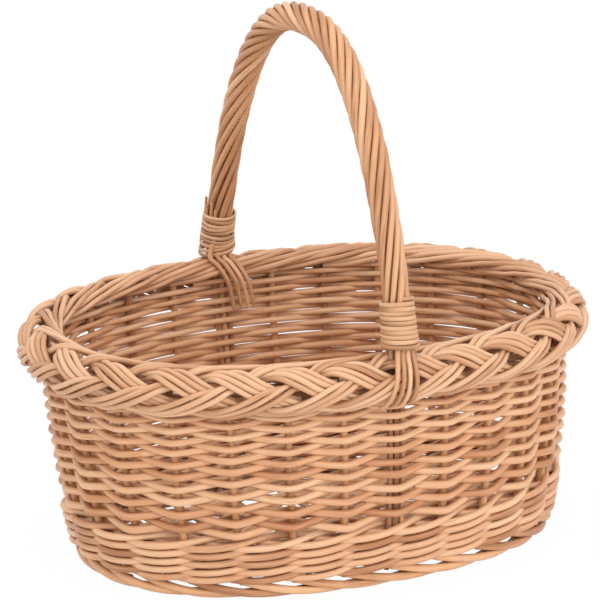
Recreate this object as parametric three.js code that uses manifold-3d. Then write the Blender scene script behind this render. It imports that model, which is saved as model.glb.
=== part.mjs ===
// Oval wicker gift basket: woven willow wall, plaited border, rolled foot and a wrapped bow handle.
// Millimetres, +Z up. X is the long way, Y the way the handle spans, Z = 0 is the ground.
import * as THREE from "three";
import { mergeVertices } from "three/addons/utils/BufferGeometryUtils.js";
import manifoldModule from "manifold-3d";

// Overall sizes
const RIM_LENGTH = 440;
const RIM_WIDTH = 320;
const FOOT_LENGTH = 371;
const FOOT_WIDTH = 251;
const BODY_HEIGHT = 180; // ground to the ridge of the border
const HANDLE_HEIGHT = 404;
const HANDLE_INSET = 15; // the feet of the bow stand this far in from the edge of the rim
const PLAN_POWER = 2.2; // 2 is an ellipse, more is squarer
const WALL_BOW = 0.83; // how far the wall swells out between foot and border

// Rods of the wall
const STAKE_PAIRS = 13; // a stake and the one opposite it
const STAKE_DIAMETER = 5.2;
const WEAVER_DIAMETER = 4.6;
const WEAVER_FLATNESS = 0.8; // thickness of a weaver for its height
const WALE_DIAMETER = 5.4;
const WALE_RODS = 3; // they go outside two stakes and inside the third
const WALE_ROUNDS = 5;
const ROW_GAP = 0.6; // daylight between one row and the next

// Plaited border
const PLAIT_STRANDS = 3;
const PLAIT_SWING = 15; // sideways swing of a strand about the middle of the plait
const PLAIT_LIFT = 5; // rise and fall of a strand through the plait
const STRAND_WIDTH = 13;
const STRAND_THICKNESS = 6.2;
const PLAIT_ROLL = 18.5; // the plait bends over the top of the wall with this radius
const PLAIT_FACE = THREE.MathUtils.degToRad(45); // the way its middle looks, up from level
const PLAIT_STEPS = 4; // path points for each stake

// Foot and base
const FOOT_ROLL_WIDTH = 13;
const FOOT_ROLL_HEIGHT = 10;
const FOOT_ROLL_CROWN = 0.55; // width of the top of the roll for its full width
const WALE_LIFT = 2; // daylight between the foot roll and the first wale
const CROSS_STICKS = 7;
const CROSS_STICK_DIAMETER = 6.8;
const LONG_STICKS = 3;
const LONG_STICK_DIAMETER = 3.6;
const BASE_ROWS = 6; // bands of weaving on either side of the long sticks
const BASE_ROW_THICKNESS = 2.4;
const BASE_BEND = 0.2; // extra room where a band bends over a stick
const BASE_GRIP = 0.5; // neighbouring bands are pressed into each other by this where they cross
const BASE_TURN = 5; // width of the turns round the ends of the long sticks
const STICK_INSET = 1; // cross sticks stop this far inside the edge of the base

// Handle
const HANDLE_DIAMETER = 20.4;
const HANDLE_RODS = 9;
const HANDLE_TWIST = -27; // rod places that the wrapping turns through from foot to foot
const HANDLE_WIDE_POWER = 2.4; // fullness of the shoulders of the bow
const HANDLE_TALL_POWER = 1.32; // straightness of the sides of the bow
const HANDLE_STEPS = 25;
const LASH_TURNS = 9;
const LASH_HEIGHT = 39;
const LASH_THICKNESS = 2.2;
const LASH_GAP = 0.7; // daylight between two turns of a lashing
const LASH_STEPS = 14;
const LASH_RISE = 7; // lowest turn above the ridge of the border
const WRAP_TUCK = 1; // the wrapping rods start this far below the lowest turn
const TAIL_SPREAD = 1.4; // daylight between the rod ends that fan out below a lashing
const TAIL_DROP = 45; // inner rod ends reach this far below the ridge
const OUTER_TAIL_LOOKS = [40, 22, 4, -14]; // degrees up from level that the plait looks under an outer end
const INNER_TAIL_LOOKS = [105, 130, 155, 180];

// Clearances
const GAP = 0.35; // between touching rods
const SEAT = 0.3; // under a piece that rests on another
const TAIL_CLEAR = 0.7; // under the rod ends that lie over the plait

// Corners in the section of each kind of rod, and points along the lines that are measured
const STAKE_SIDES = 5;
const STAKE_RINGS = 5;
const WALE_SIDES = 5;
const STRAND_SIDES = 6;
const BOW_SIDES = 8;
const LEG_RINGS = 6;
const ROD_SIDES = 5;
const STICK_SIDES = 6;
const TURN_SAMPLES = 1440;
const SECTION_SAMPLES = 72;
const ARCH_SAMPLES = 480;
const ARCH_SMOOTHING = 6; // samples either side that give the lean of the arch
const WELD = 1e-4; // corners closer than this are one

// Willow
const PALE_WILLOW = { color: 0xdcae86, roughness: 0.55, metalness: 0 };
const BUFF_WILLOW = { color: 0xd09a70, roughness: 0.6, metalness: 0 };
const DARK_WILLOW = { color: 0xb98055, roughness: 0.65, metalness: 0 };

const STAKES = 2 * STAKE_PAIRS;
const HANDLE_TURN = 0.25; // the first leg of the handle, as a part of a turn
const UP = new THREE.Vector3(0, 0, 1);

const basket = new THREE.Group();

function addPiece(name, geometry, willow) {
  const mesh = new THREE.Mesh(geometry, new THREE.MeshStandardMaterial(willow));
  mesh.name = name;
  basket.add(mesh);
}

// Solids for cutting one piece by another
const wasm = await manifoldModule();
wasm.setup();

function toSolid(geometry) {
  const bare = new THREE.BufferGeometry();
  const loose = geometry.index ? geometry.toNonIndexed() : geometry;
  bare.setAttribute("position", loose.getAttribute("position"));
  const merged = mergeVertices(bare, WELD);
  const vertProperties = merged.getAttribute("position").array;
  const triVerts = new Uint32Array(merged.index.array);
  return new wasm.Manifold(new wasm.Mesh({ numProp: 3, vertProperties, triVerts }));
}

function toGeometry(solid) {
  const mesh = solid.getMesh();
  const geometry = new THREE.BufferGeometry();
  geometry.setAttribute("position", new THREE.BufferAttribute(mesh.vertProperties, 3));
  geometry.setIndex(new THREE.BufferAttribute(mesh.triVerts, 1));
  geometry.computeVertexNormals();
  return geometry;
}

// Corners of a rod's section, round or squeezed to an ellipse.
function rodSection(halfWidth, halfHeight, sides) {
  return Array.from({ length: sides }, (_, i) => {
    const angle = (2 * Math.PI * (i + 0.5)) / sides;
    return [halfWidth * Math.cos(angle), halfHeight * Math.sin(angle)];
  });
}

// Corners of a flat rod's section.
function flatSection(halfWidth, halfHeight) {
  return [
    [-halfWidth, -halfHeight],
    [halfWidth, -halfHeight],
    [halfWidth, halfHeight],
    [-halfWidth, halfHeight],
  ];
}

// Carries a section along a path; facing(i) is the way that the section's second axis points.
function sweep(path, facing, section, closed = false) {
  const count = path.length;
  const sides = section(0).length;
  const positions = [];
  const indices = [];
  for (let i = 0; i < count; i++) {
    const before = path[closed ? (i + count - 1) % count : Math.max(i - 1, 0)];
    const after = path[closed ? (i + 1) % count : Math.min(i + 1, count - 1)];
    const along = after.clone().sub(before).normalize();
    const up = facing(i).clone();
    up.addScaledVector(along, -up.dot(along)).normalize();
    const side = new THREE.Vector3().crossVectors(up, along);
    for (const [across, over] of section(i)) {
      const corner = path[i].clone().addScaledVector(side, across).addScaledVector(up, over);
      positions.push(corner.x, corner.y, corner.z);
    }
  }
  const rings = closed ? count : count - 1;
  for (let i = 0; i < rings; i++) {
    const here = i * sides;
    const next = ((i + 1) % count) * sides;
    for (let j = 0; j < sides; j++) {
      const k = (j + 1) % sides;
      indices.push(here + j, here + k, next + k, here + j, next + k, next + j);
    }
  }
  if (!closed) {
    const last = (count - 1) * sides;
    for (let j = 1; j < sides - 1; j++) {
      indices.push(0, j + 1, j);
      indices.push(last, last + j, last + j + 1);
    }
  }
  const geometry = new THREE.BufferGeometry();
  geometry.setAttribute("position", new THREE.Float32BufferAttribute(positions, 3));
  geometry.setIndex(indices);
  geometry.computeVertexNormals();
  return geometry;
}

// The oval plan
function signedPower(value, power) {
  return Math.sign(value) * Math.abs(value) ** power;
}

function ovalPoint(halfLength, halfWidth, angle) {
  const x = halfLength * signedPower(Math.cos(angle), 2 / PLAN_POWER);
  const y = halfWidth * signedPower(Math.sin(angle), 2 / PLAN_POWER);
  return new THREE.Vector3(x, y, 0);
}

function ovalOutward(halfLength, halfWidth, point) {
  const x = signedPower(point.x / halfLength, PLAN_POWER - 1) / halfLength;
  const y = signedPower(point.y / halfWidth, PLAN_POWER - 1) / halfWidth;
  return new THREE.Vector3(x, y, 0).normalize();
}

// Angle on the oval at a part of a turn, so that equal parts are equal lengths of the rim.
const turnLengths = [0];
for (let i = 1; i <= TURN_SAMPLES; i++) {
  const step = (2 * Math.PI) / TURN_SAMPLES;
  const here = ovalPoint(RIM_LENGTH, RIM_WIDTH, i * step);
  const before = ovalPoint(RIM_LENGTH, RIM_WIDTH, (i - 1) * step);
  turnLengths.push(turnLengths[i - 1] + here.distanceTo(before));
}

function angleAt(turn) {
  const wanted = (turn - Math.floor(turn)) * turnLengths[TURN_SAMPLES];
  let i = 1;
  while (turnLengths[i] < wanted) i++;
  const part = (wanted - turnLengths[i - 1]) / (turnLengths[i] - turnLengths[i - 1]);
  return ((i - 1 + part) * 2 * Math.PI) / TURN_SAMPLES;
}

// A place on an oval, and the level way out from it.
function ovalPlace(halfLength, halfWidth, turn) {
  const point = ovalPoint(halfLength, halfWidth, angleAt(turn));
  const outward = ovalOutward(halfLength, halfWidth, point);
  return { point, outward };
}

// The plait: strands that swing across each other and change places at every stake.
const strandHalfWidth = STRAND_WIDTH / 2;
const strandHalfThickness = STRAND_THICKNESS / 2;

// Middle of a strand in the plait's own section: across the plait, and through it.
function strandOffset(phase) {
  return [PLAIT_SWING * Math.sin(phase), -PLAIT_LIFT * Math.sin(2 * phase)];
}

// The same section bent over the top of the wall: outwards and upwards from the middle of the roll.
function plaitToBasket(across, through) {
  const angle = PLAIT_FACE - across / PLAIT_ROLL;
  const radius = PLAIT_ROLL + through;
  return [radius * Math.cos(angle), radius * Math.sin(angle)];
}

const plaitSection = [];
for (let i = 0; i < SECTION_SAMPLES; i++) {
  const [across, through] = strandOffset((2 * Math.PI * i) / SECTION_SAMPLES);
  for (const [width, height] of rodSection(strandHalfWidth, strandHalfThickness, SECTION_SAMPLES)) {
    plaitSection.push(plaitToBasket(across + width, through + height));
  }
}

// Farthest point of the plait's section in a direction, angle 0 outwards and a quarter turn up.
function plaitReach(angle) {
  const reach = ([out, rise]) => out * Math.cos(angle) + rise * Math.sin(angle);
  return plaitSection.reduce((best, point) => (reach(point) > reach(best) ? point : best));
}

const plaitOut = plaitReach(0)[0];
const plaitUp = plaitReach(Math.PI / 2)[1];
const plaitHeight = BODY_HEIGHT - plaitUp;
const plaitHalfLength = RIM_LENGTH / 2 - plaitOut;
const plaitHalfWidth = RIM_WIDTH / 2 - plaitOut;
const plaitHollow = PLAIT_ROLL - PLAIT_LIFT - strandHalfThickness - GAP; // free radius under it

// The wall: a line of stakes from the foot up to the plait, which bends over its top.
const stakeRadius = STAKE_DIAMETER / 2;
const weaverRadius = WEAVER_DIAMETER / 2;
const waleRadius = WALE_DIAMETER / 2;
const weaveReach = stakeRadius + weaverRadius + 2 * GAP;
const waleReach = stakeRadius + waleRadius + 2 * GAP;
const wallHalf = weaveReach + weaverRadius;
const stakeFootLength = FOOT_LENGTH / 2 - wallHalf;
const stakeFootWidth = FOOT_WIDTH / 2 - wallHalf;
const stakeTop = plaitHeight + Math.sqrt(plaitHollow ** 2 - stakeRadius ** 2);
const weaveTop = plaitHeight + Math.sqrt(plaitHollow ** 2 - wallHalf ** 2) - weaverRadius;
const footSlope = ((1 + WALL_BOW) * (plaitHalfLength - stakeFootLength)) / weaveTop;
const stakeFoot = FOOT_ROLL_HEIGHT + SEAT + stakeRadius * footSlope; // its end is square to the lean

function wallAxes(height) {
  const part = Math.min(height / weaveTop, 1);
  const spread = part + WALL_BOW * part * (1 - part);
  const halfLength = stakeFootLength + (plaitHalfLength - stakeFootLength) * spread;
  const halfWidth = stakeFootWidth + (plaitHalfWidth - stakeFootWidth) * spread;
  return [halfLength, halfWidth];
}

function wallPlace(turn, height, out) {
  const { point, outward } = ovalPlace(...wallAxes(height), turn);
  point.addScaledVector(outward, out);
  point.z = height;
  return { point, outward };
}

// Stakes, at every place but the two where the legs of the handle stand.
let stakeNumber = 0;
for (let k = 0; k < STAKES; k++) {
  if (k % STAKE_PAIRS === 0) continue;
  const places = [];
  for (let i = 0; i <= STAKE_RINGS; i++) {
    const height = stakeFoot + ((stakeTop - stakeFoot) * i) / STAKE_RINGS;
    places.push(wallPlace(HANDLE_TURN + k / STAKES, height, 0));
  }
  const path = places.map((place) => place.point);
  const section = rodSection(stakeRadius, stakeRadius, STAKE_SIDES);
  const geometry = sweep(path, (i) => places[i].outward, () => section);
  stakeNumber++;
  addPiece(`stake_${String(stakeNumber).padStart(2, "0")}`, geometry, BUFF_WILLOW);
}

// A rod that goes in and out of the stakes on its way round: side(k) is 1 outside one and -1 inside.
function weavingRod(firstStake, lastStake, heightAt, reach, side, section) {
  const places = [];
  for (let k = firstStake; k <= lastStake; k++) {
    places.push(wallPlace(HANDLE_TURN + k / STAKES, heightAt(k / STAKES), reach * side(k)));
  }
  const path = places.map((place) => place.point);
  return sweep(path, (i) => places[i].outward, () => section);
}

// Wale: rods that climb together, each one row below the next.
const walePitch = WALE_DIAMETER + ROW_GAP;
const waleFoot = FOOT_ROLL_HEIGHT + WALE_LIFT + waleRadius + GAP;
const waleTop = waleFoot + walePitch * WALE_ROUNDS;
const waleSection = rodSection(waleRadius, waleRadius, WALE_SIDES);
for (let rod = 0; rod < WALE_RODS; rod++) {
  const height = (turns) => waleFoot + walePitch * (WALE_RODS * turns - rod);
  const side = (k) => ((k + rod + 1) % WALE_RODS === 0 ? -1 : 1);
  const first = Math.ceil((STAKES * rod) / WALE_RODS);
  const last = Math.ceil((STAKES * (WALE_ROUNDS + rod)) / WALE_RODS) - 1;
  const wale = weavingRod(first, last, height, waleReach, side, waleSection);
  addPiece(`wale_rod_${rod + 1}`, wale, PALE_WILLOW);
}

// Randing: two weavers that chase each other up the wall, one outside the even stakes, one the odd.
const leastPitch = WEAVER_DIAMETER + ROW_GAP;
const firstRise = (2 * leastPitch) / WALE_RODS; // climb of the first weaver before the last wale rod ends
const weaveFoot = waleTop + waleRadius + weaverRadius + ROW_GAP - firstRise;
const weaveRounds = Math.floor((weaveTop - weaveFoot) / (2 * leastPitch));
const weavePitch = (weaveTop - weaveFoot) / (2 * weaveRounds);
const weaveLast = weaveRounds * STAKES;
const weaverSection = flatSection(weaverRadius, WEAVER_FLATNESS * weaverRadius);
for (const chase of [0, 1]) {
  const height = (turns) => weaveFoot + weavePitch * (2 * turns - chase);
  const side = (k) => ((k + chase) % 2 === 0 ? 1 : -1);
  const first = chase * STAKES;
  const rod = weavingRod(first, weaveLast, height, weaveReach, side, weaverSection);
  addPiece(chase === 0 ? "weaver_even" : "weaver_odd", rod, BUFF_WILLOW);
}

// Handle bow: an arch over the basket whose thinned legs stand in the wall in place of two stakes.
const archFoot = BODY_HEIGHT;
const archHalfSpan = RIM_WIDTH / 2 - HANDLE_INSET;
const archTop = HANDLE_HEIGHT - HANDLE_DIAMETER / 2;

const archPoints = [];
for (let i = 0; i <= ARCH_SAMPLES; i++) {
  const angle = (Math.PI * i) / ARCH_SAMPLES;
  const y = archHalfSpan * signedPower(Math.cos(angle), 2 / HANDLE_WIDE_POWER);
  const rise = Math.abs(Math.sin(angle)) ** (2 / HANDLE_TALL_POWER);
  archPoints.push(new THREE.Vector3(0, y, archFoot + (archTop - archFoot) * rise));
}
const archLengths = [0];
for (let i = 1; i <= ARCH_SAMPLES; i++) {
  archLengths.push(archLengths[i - 1] + archPoints[i].distanceTo(archPoints[i - 1]));
}
const archLength = archLengths[ARCH_SAMPLES];

// A place on the bow at a length from its far foot, and the way out of the arch.
function archPlace(length) {
  let i = 1;
  while (i < ARCH_SAMPLES && archLengths[i] < length) i++;
  const part = (length - archLengths[i - 1]) / (archLengths[i] - archLengths[i - 1]);
  const point = archPoints[i - 1].clone().lerp(archPoints[i], part);
  const first = archPoints[Math.max(i - ARCH_SMOOTHING, 0)];
  const last = archPoints[Math.min(i - 1 + ARCH_SMOOTHING, ARCH_SAMPLES)];
  const along = last.clone().sub(first).normalize();
  const outward = new THREE.Vector3(0, along.z, -along.y);
  return { point, outward };
}

// Rods round the bow fill its girth side by side, slanted by their twist.
const rodStep = (2 * Math.PI) / HANDLE_RODS;
const wrapTwist = (HANDLE_TWIST * rodStep) / archLength;
const wrapSlant = Math.cos(Math.atan((wrapTwist * HANDLE_DIAMETER) / 2));
const girth = Math.PI * HANDLE_DIAMETER * wrapSlant;
const rodRadius = (girth - HANDLE_RODS * 2 * GAP) / (2 * HANDLE_RODS + 2 * Math.PI * wrapSlant);
const wrapRadius = HANDLE_DIAMETER / 2 - rodRadius;
const bowRadius = wrapRadius - rodRadius - 2 * GAP;

const bowFacing = new THREE.Vector3(1, 0, 0);
const legTop = weaveTop + weaverRadius + stakeRadius; // above this the leg leans out to the bow
const legPath = [];
for (let i = 0; i <= LEG_RINGS; i++) {
  const height = stakeFoot + ((legTop - stakeFoot) * i) / LEG_RINGS;
  legPath.push(wallPlace(HANDLE_TURN, height, 0).point);
}
const thinRings = legPath.length;
const bowPath = [...legPath];
for (let i = 0; i <= HANDLE_STEPS; i++) {
  bowPath.push(archPlace(LASH_RISE + ((archLength - 2 * LASH_RISE) * i) / HANDLE_STEPS).point);
}
for (const point of [...legPath].reverse()) bowPath.push(new THREE.Vector3(0, -point.y, point.z));
const thinSection = rodSection(stakeRadius, stakeRadius, BOW_SIDES);
const fullSection = rodSection(bowRadius, bowRadius, BOW_SIDES);
const thinHere = (i) => i < thinRings || i >= bowPath.length - thinRings;
const bow = sweep(bowPath, () => bowFacing, (i) => (thinHere(i) ? thinSection : fullSection));
addPiece("handle_bow", bow, BUFF_WILLOW);

// Plaited border. Its strands join into one loop unless they divide the number of stakes.
function plaitPlace(turn, across, through) {
  const { point, outward } = ovalPlace(plaitHalfLength, plaitHalfWidth, turn);
  const [out, rise] = plaitToBasket(across, through);
  point.addScaledVector(outward, out);
  point.z = plaitHeight + rise;
  const face = outward.clone().multiplyScalar(out).addScaledVector(UP, rise);
  return { point, face };
}

// The legs of the handle push the strands apart where they go through.
const roomSections = [stakeRadius, bowRadius].map((radius) => {
  return rodSection(radius + 2 * GAP, radius + 2 * GAP, BOW_SIDES);
});
const legRoom = [1, -1].map((way) => {
  const ends = [legPath[LEG_RINGS], archPlace(LASH_RISE).point];
  const path = ends.map((point) => new THREE.Vector3(0, way * point.y, point.z));
  return toSolid(sweep(path, () => bowFacing, (i) => roomSections[i]));
});

const plaitLoops = STAKES % PLAIT_STRANDS === 0 ? PLAIT_STRANDS : 1;
for (let loop = 0; loop < plaitLoops; loop++) {
  const points = (STAKES * PLAIT_STEPS * PLAIT_STRANDS) / plaitLoops;
  const places = [];
  for (let i = 0; i < points; i++) {
    const stakesAlong = i / PLAIT_STEPS;
    const phase = (2 * Math.PI * (stakesAlong + loop)) / PLAIT_STRANDS;
    places.push(plaitPlace(HANDLE_TURN + stakesAlong / STAKES, ...strandOffset(phase)));
  }
  const path = places.map((place) => place.point);
  const section = rodSection(strandHalfWidth, strandHalfThickness, STRAND_SIDES);
  const strand = sweep(path, (i) => places[i].face, () => section, true);
  const parted = toSolid(strand).subtract(legRoom[0]).subtract(legRoom[1]);
  const name = plaitLoops === 1 ? "border_plait" : `border_plait_${loop + 1}`;
  addPiece(name, toGeometry(parted), PALE_WILLOW);
}

// Foot roll, flat underneath.
const rollHalfWidth = FOOT_ROLL_WIDTH / 2;
const rollHalfHeight = FOOT_ROLL_HEIGHT / 2;
const rollSection = [
  [-rollHalfWidth, -rollHalfHeight],
  [rollHalfWidth, -rollHalfHeight],
  [rollHalfWidth, 0],
  [rollHalfWidth * FOOT_ROLL_CROWN, rollHalfHeight],
  [-rollHalfWidth * FOOT_ROLL_CROWN, rollHalfHeight],
  [-rollHalfWidth, 0],
];
const rollPath = [];
for (let i = 0; i < 2 * STAKES; i++) {
  const halfLength = FOOT_LENGTH / 2 - rollHalfWidth;
  const halfWidth = FOOT_WIDTH / 2 - rollHalfWidth;
  const { point } = ovalPlace(halfLength, halfWidth, HANDLE_TURN + i / (2 * STAKES));
  point.z = rollHalfHeight;
  rollPath.push(point);
}
addPiece("foot_roll", sweep(rollPath, () => UP, () => rollSection, true), DARK_WILLOW);

// Base: bands of willow woven over one cross stick and under the next, turned round the ends of the long sticks.
const crossRadius = CROSS_STICK_DIAMETER / 2;
const longRadius = LONG_STICK_DIAMETER / 2;
const baseFoot = FOOT_ROLL_HEIGHT + SEAT;
const baseHalfHeight = crossRadius + GAP + BASE_BEND + BASE_ROW_THICKNESS;
const baseMiddle = baseFoot + baseHalfHeight;
const baseSwing = baseHalfHeight - BASE_ROW_THICKNESS / 2;
const [lowLength, lowWidth] = wallAxes(waleFoot); // its edge meets the first round of the wale
const baseInset = waleReach + waleRadius + GAP;
const baseHalfLength = lowLength - baseInset;
const baseHalfWidth = lowWidth - baseInset;

function stick(radius, halfLength, x, y, lengthways) {
  const geometry = new THREE.CylinderGeometry(radius, radius, 2 * halfLength, STICK_SIDES);
  if (lengthways) geometry.rotateZ(Math.PI / 2);
  return geometry.translate(x, y, baseMiddle);
}

// Places in a row of so many, even about the middle.
function rowPlaces(count, pitch) {
  return Array.from({ length: count }, (_, i) => (i - (count - 1) / 2) * pitch);
}

const longPitch = LONG_STICK_DIAMETER + GAP;
const longReach = baseHalfLength - BASE_TURN - GAP;
const crossPitch = (2 * baseHalfLength) / (CROSS_STICKS + 1);
const slotWidth = LONG_STICKS * longPitch + GAP;
const slotHeight = LONG_STICK_DIAMETER + 2 * GAP;
const slotGeometry = new THREE.BoxGeometry(2 * baseHalfLength, slotWidth, slotHeight);
const slot = toSolid(slotGeometry.translate(0, 0, baseMiddle));

rowPlaces(CROSS_STICKS, crossPitch).forEach((x, i) => {
  const share = Math.abs(x / baseHalfLength) ** PLAN_POWER;
  const reach = baseHalfWidth * (1 - share) ** (1 / PLAN_POWER) - STICK_INSET;
  const whole = toSolid(stick(crossRadius, reach, x, 0, false));
  addPiece(`cross_stick_${i + 1}`, toGeometry(whole.subtract(slot)), DARK_WILLOW);
});
rowPlaces(LONG_STICKS, longPitch).forEach((y, i) => {
  addPiece(`long_stick_${i + 1}`, stick(longRadius, longReach, 0, y, true), DARK_WILLOW);
});

// One band of the weave between two distances from the middle line; side is 1 or -1.
function baseBand(row, from, to, side) {
  const bends = rowPlaces(CROSS_STICKS + 2, crossPitch);
  const line = bends.map((x, i) => new THREE.Vector2(x, (i + row) % 2 ? baseSwing : -baseSwing));
  const lift = new THREE.Vector2(0, BASE_ROW_THICKNESS / 2);
  const upper = line.map((point) => point.clone().add(lift));
  const lower = line.map((point) => point.clone().sub(lift));
  const profile = new THREE.Shape([...lower, ...upper.reverse()]);
  const band = new THREE.ExtrudeGeometry(profile, { depth: to - from, bevelEnabled: false });
  return band.rotateX(Math.PI / 2).translate(0, side > 0 ? to : -from, baseMiddle);
}

const outline = new THREE.Shape();
for (let i = 0; i < 2 * STAKES; i++) {
  const { point } = ovalPlace(baseHalfLength, baseHalfWidth, i / (2 * STAKES));
  if (i === 0) outline.moveTo(point.x, point.y);
  else outline.lineTo(point.x, point.y);
}
const ovalGeometry = new THREE.ExtrudeGeometry(outline, { depth: 2 * baseHalfHeight, bevelEnabled: false });
const oval = toSolid(ovalGeometry.translate(0, 0, baseFoot));

const bandWidth = (baseHalfWidth - slotWidth / 2) / BASE_ROWS;
const turnWidth = slotWidth + 2 * bandWidth - 2 * BASE_GRIP;
const weave = [];
for (const side of [1, -1]) {
  for (let row = 0; row < BASE_ROWS; row++) {
    const from = slotWidth / 2 + row * bandWidth;
    weave.push(toSolid(baseBand(row, from, from + bandWidth + BASE_GRIP, side)));
  }
  const turnGeometry = new THREE.BoxGeometry(BASE_TURN, turnWidth, 2 * baseHalfHeight);
  weave.push(toSolid(turnGeometry.translate(side * (baseHalfLength - BASE_TURN / 2), 0, baseMiddle)));
}
addPiece("base_mat", toGeometry(wasm.Manifold.union(weave).intersect(oval)), BUFF_WILLOW);

// Ends of a wrapping rod from its lashing to its tip: way is 1 at the far foot and -1 at the near one.
const tailPitch = 2 * rodRadius + TAIL_SPREAD;

function overPlait(look, fan, way) {
  const angle = THREE.MathUtils.degToRad(look);
  const [out, rise] = plaitReach(angle);
  const clear = rodRadius + TAIL_CLEAR;
  const y = plaitHalfWidth + out + clear * Math.cos(angle);
  return new THREE.Vector3(fan, way * y, plaitHeight + rise + clear * Math.sin(angle));
}

function rodTail(angle, way) {
  const turned = Math.atan2(Math.sin(angle), Math.cos(angle));
  if (Math.cos(turned) > 0) {
    const fan = (turned / rodStep) * tailPitch;
    return OUTER_TAIL_LOOKS.map((look) => overPlait(look, fan, way));
  }
  const fromInside = Math.atan2(Math.sin(angle - Math.PI), Math.cos(angle - Math.PI));
  const fan = -(fromInside / rodStep) * tailPitch;
  const points = INNER_TAIL_LOOKS.map((look) => overPlait(look, fan, way));
  const lowest = points[points.length - 1];
  for (const height of [weaveTop, BODY_HEIGHT - TAIL_DROP]) {
    const wall = wallAxes(height)[1] - wallHalf - rodRadius - TAIL_CLEAR;
    const y = Math.min(wall, Math.abs(lowest.y));
    points.push(new THREE.Vector3(fan, way * y, Math.min(height, lowest.z)));
  }
  return points;
}

const wrapStart = LASH_RISE - WRAP_TUCK;
for (let j = 0; j < HANDLE_RODS; j++) {
  const farAngle = j * rodStep;
  const nearAngle = farAngle + HANDLE_TWIST * rodStep;
  const path = rodTail(farAngle, 1).reverse();
  const facings = path.map(() => new THREE.Vector3(0, 1, 0));
  for (let i = 0; i <= HANDLE_STEPS; i++) {
    const part = i / HANDLE_STEPS;
    const { point, outward } = archPlace(wrapStart + (archLength - 2 * wrapStart) * part);
    const angle = farAngle + (nearAngle - farAngle) * part;
    const radial = outward.clone().multiplyScalar(Math.cos(angle));
    radial.x += Math.sin(angle);
    path.push(point.addScaledVector(radial, wrapRadius));
    facings.push(radial);
  }
  for (const point of rodTail(nearAngle, -1)) {
    path.push(point);
    facings.push(new THREE.Vector3(0, -1, 0));
  }
  const section = rodSection(rodRadius, rodRadius, ROD_SIDES);
  addPiece(`handle_rod_${j + 1}`, sweep(path, (i) => facings[i], () => section), PALE_WILLOW);
}

// Lashings: a flat split rod wound round the foot of the bow, one unbroken length each.
const lashPitch = LASH_HEIGHT / LASH_TURNS;
const lashHalfWidth = (lashPitch - LASH_GAP) / 2;
const lashHalfThickness = LASH_THICKNESS / 2;
const chordEase = Math.cos(Math.PI / LASH_STEPS); // a chord of the coil lies inside its circle by this
const lashRadius = (HANDLE_DIAMETER / 2 + GAP + lashHalfThickness) / chordEase;
const lashSection = flatSection(lashHalfWidth, lashHalfThickness);
let leastLashGap = Infinity;
for (const way of [1, -1]) {
  const places = [];
  for (let i = 0; i <= LASH_TURNS * LASH_STEPS; i++) {
    const rise = LASH_RISE + lashHalfWidth + (LASH_HEIGHT * i) / (LASH_TURNS * LASH_STEPS);
    const { point, outward } = archPlace(way > 0 ? rise : archLength - rise);
    const angle = (2 * Math.PI * i) / LASH_STEPS;
    const radial = outward.clone().multiplyScalar(Math.cos(angle));
    radial.x += way * Math.sin(angle);
    places.push({ point: point.addScaledVector(radial, lashRadius), radial });
  }
  for (let i = 0; i + LASH_STEPS < places.length; i++) {
    for (const step of [-1, 0, 1]) {
      const other = places[Math.min(i + LASH_STEPS + step, places.length - 1)];
      const apart = places[i].point.distanceTo(other.point);
      leastLashGap = Math.min(leastLashGap, apart - 2 * lashHalfWidth);
    }
  }
  const path = places.map((place) => place.point);
  const coil = sweep(path, (i) => places[i].radial, () => lashSection);
  addPiece(way > 0 ? "lashing_far" : "lashing_near", coil, PALE_WILLOW);
}
console.log(`least gap between the turns of a lashing: ${leastLashGap.toFixed(2)} mm`);

export default basket;
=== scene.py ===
import math

import bpy
import numpy as np
from mathutils import Matrix, Vector


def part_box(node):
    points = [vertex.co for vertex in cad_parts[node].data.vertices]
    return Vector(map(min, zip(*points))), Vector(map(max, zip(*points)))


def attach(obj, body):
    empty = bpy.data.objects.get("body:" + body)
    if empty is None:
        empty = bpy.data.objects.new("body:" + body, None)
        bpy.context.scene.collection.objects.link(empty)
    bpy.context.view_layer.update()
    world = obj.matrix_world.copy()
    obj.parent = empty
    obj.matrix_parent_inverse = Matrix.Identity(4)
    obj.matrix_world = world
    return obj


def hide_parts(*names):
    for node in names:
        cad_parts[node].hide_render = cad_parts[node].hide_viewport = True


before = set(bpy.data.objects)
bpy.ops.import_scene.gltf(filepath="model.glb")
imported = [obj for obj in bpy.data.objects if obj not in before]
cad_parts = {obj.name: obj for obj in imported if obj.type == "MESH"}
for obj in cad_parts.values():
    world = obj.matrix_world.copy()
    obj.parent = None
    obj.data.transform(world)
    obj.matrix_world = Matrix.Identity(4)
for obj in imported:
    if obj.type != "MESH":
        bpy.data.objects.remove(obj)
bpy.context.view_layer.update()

# Base sticks. Seven short sticks of thick willow, split in the middle, with three long ones threaded
# through the splits. They are cut from two-year rods and make the cross that the bottom is woven on.
CROSS_STICKS = 7
LONG_STICKS = 3
STICK_SHAVED = 0.72  # the cross sticks are shaved to this part of their thickness before they are woven
STICK_STEP = 0.004  # between the points along a stick
STICK_REACH = 0.006  # the ends run on this far past the mat, up to the wale
STICK_TAPER = (1.06, 0.94)  # thickness of a stick at its butt and at its tip
# the foot stands this far off the middle of the rim, as handwork does
FOOT_LEAN = np.array([0.0055, -0.0065, 0.0])

chance = np.random.default_rng(26)  # the same small unevenness on every run


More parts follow.
